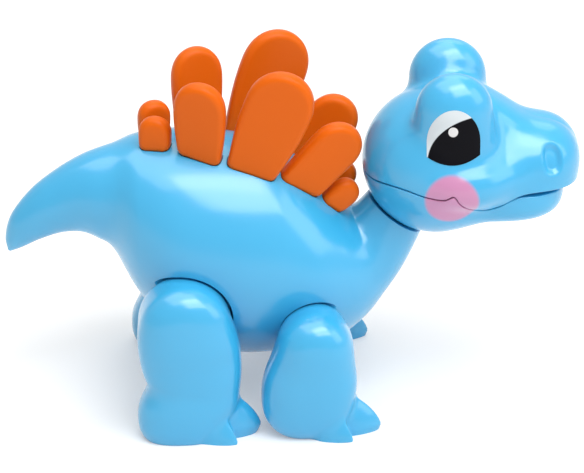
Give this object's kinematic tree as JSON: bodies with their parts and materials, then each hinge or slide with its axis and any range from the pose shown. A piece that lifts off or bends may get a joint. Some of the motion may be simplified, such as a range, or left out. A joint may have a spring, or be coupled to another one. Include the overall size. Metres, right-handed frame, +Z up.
{
  "type": "toy stegosaurus",
  "caption": "Chunky moulded stegosaurus toy with a turning head, swinging legs and plugged-in back plates, standing on flat soles.",
  "frame": {"origin": "on the floor, under the middle of the box round the toy", "axes": "+X forward through the snout, +Y to the toy's left, +Z up"},
  "size_m": [0.1636, 0.0786, 0.1053],
  "materials": {
    "sky_shell": "glossy moulded sky-blue plastic",
    "plate_orange": "satin moulded orange plastic",
    "eye_gloss": "glossy white with a black printed pupil",
    "inner_plastic": "natural unpainted plastic",
    "rubber_ring": "matt black rubber"
  },
  "bodies": {
    "body": {"body_right": "sky_shell", "body_left": "sky_shell", "plate_right_1": "plate_orange", "plate_right_2": "plate_orange", "plate_right_3": "plate_orange", "plate_right_4": "plate_orange", "plate_right_5": "plate_orange", "plate_left_1": "plate_orange", "plate_left_2": "plate_orange", "plate_left_3": "plate_orange", "plate_left_4": "plate_orange", "plate_left_5": "plate_orange"},
    "head": {"head_upper": "sky_shell", "head_lower": "sky_shell", "eye_right": "eye_gloss", "eye_left": "eye_gloss", "neck_post": "inner_plastic", "neck_ring": "rubber_ring", "neck_cap": "inner_plastic"},
    "leg_rear_right": {"leg_rear_right": "sky_shell", "friction_ring_rear_right": "rubber_ring", "axle_cap_rear_right": "inner_plastic"},
    "leg_rear_left": {"leg_rear_left": "sky_shell", "friction_ring_rear_left": "rubber_ring", "axle_cap_rear_left": "inner_plastic"},
    "leg_front_right": {"leg_front_right": "sky_shell", "friction_ring_front_right": "rubber_ring", "axle_cap_front_right": "inner_plastic"},
    "leg_front_left": {"leg_front_left": "sky_shell", "friction_ring_front_left": "rubber_ring", "axle_cap_front_left": "inner_plastic"}
  },
  "joints": [
    {"name": "head_turn", "type": "hinge", "parent": "body", "child": "head", "pos_m": [0.0294, 0, 0.055], "axis": [0.5878, 0, 0.809], "range_deg": [-90, 90]},
    {"name": "leg_rear_right_swing", "type": "hinge", "parent": "body", "child": "leg_rear_right", "pos_m": [-0.0318, -0.0212, 0.0337], "axis": [0, 1, 0], "range_deg": [0, 35]},
    {"name": "leg_rear_left_swing", "type": "hinge", "parent": "body", "child": "leg_rear_left", "pos_m": [-0.0318, 0.0212, 0.0337], "axis": [0, 1, 0], "range_deg": [0, 35]},
    {"name": "leg_front_right_swing", "type": "hinge", "parent": "body", "child": "leg_front_right", "pos_m": [0.0052, -0.0212, 0.0279], "axis": [0, -1, 0], "range_deg": [0, 35]},
    {"name": "leg_front_left_swing", "type": "hinge", "parent": "body", "child": "leg_front_left", "pos_m": [0.0052, 0.0212, 0.0279], "axis": [0, -1, 0], "range_deg": [0, 35]}
  ]
}
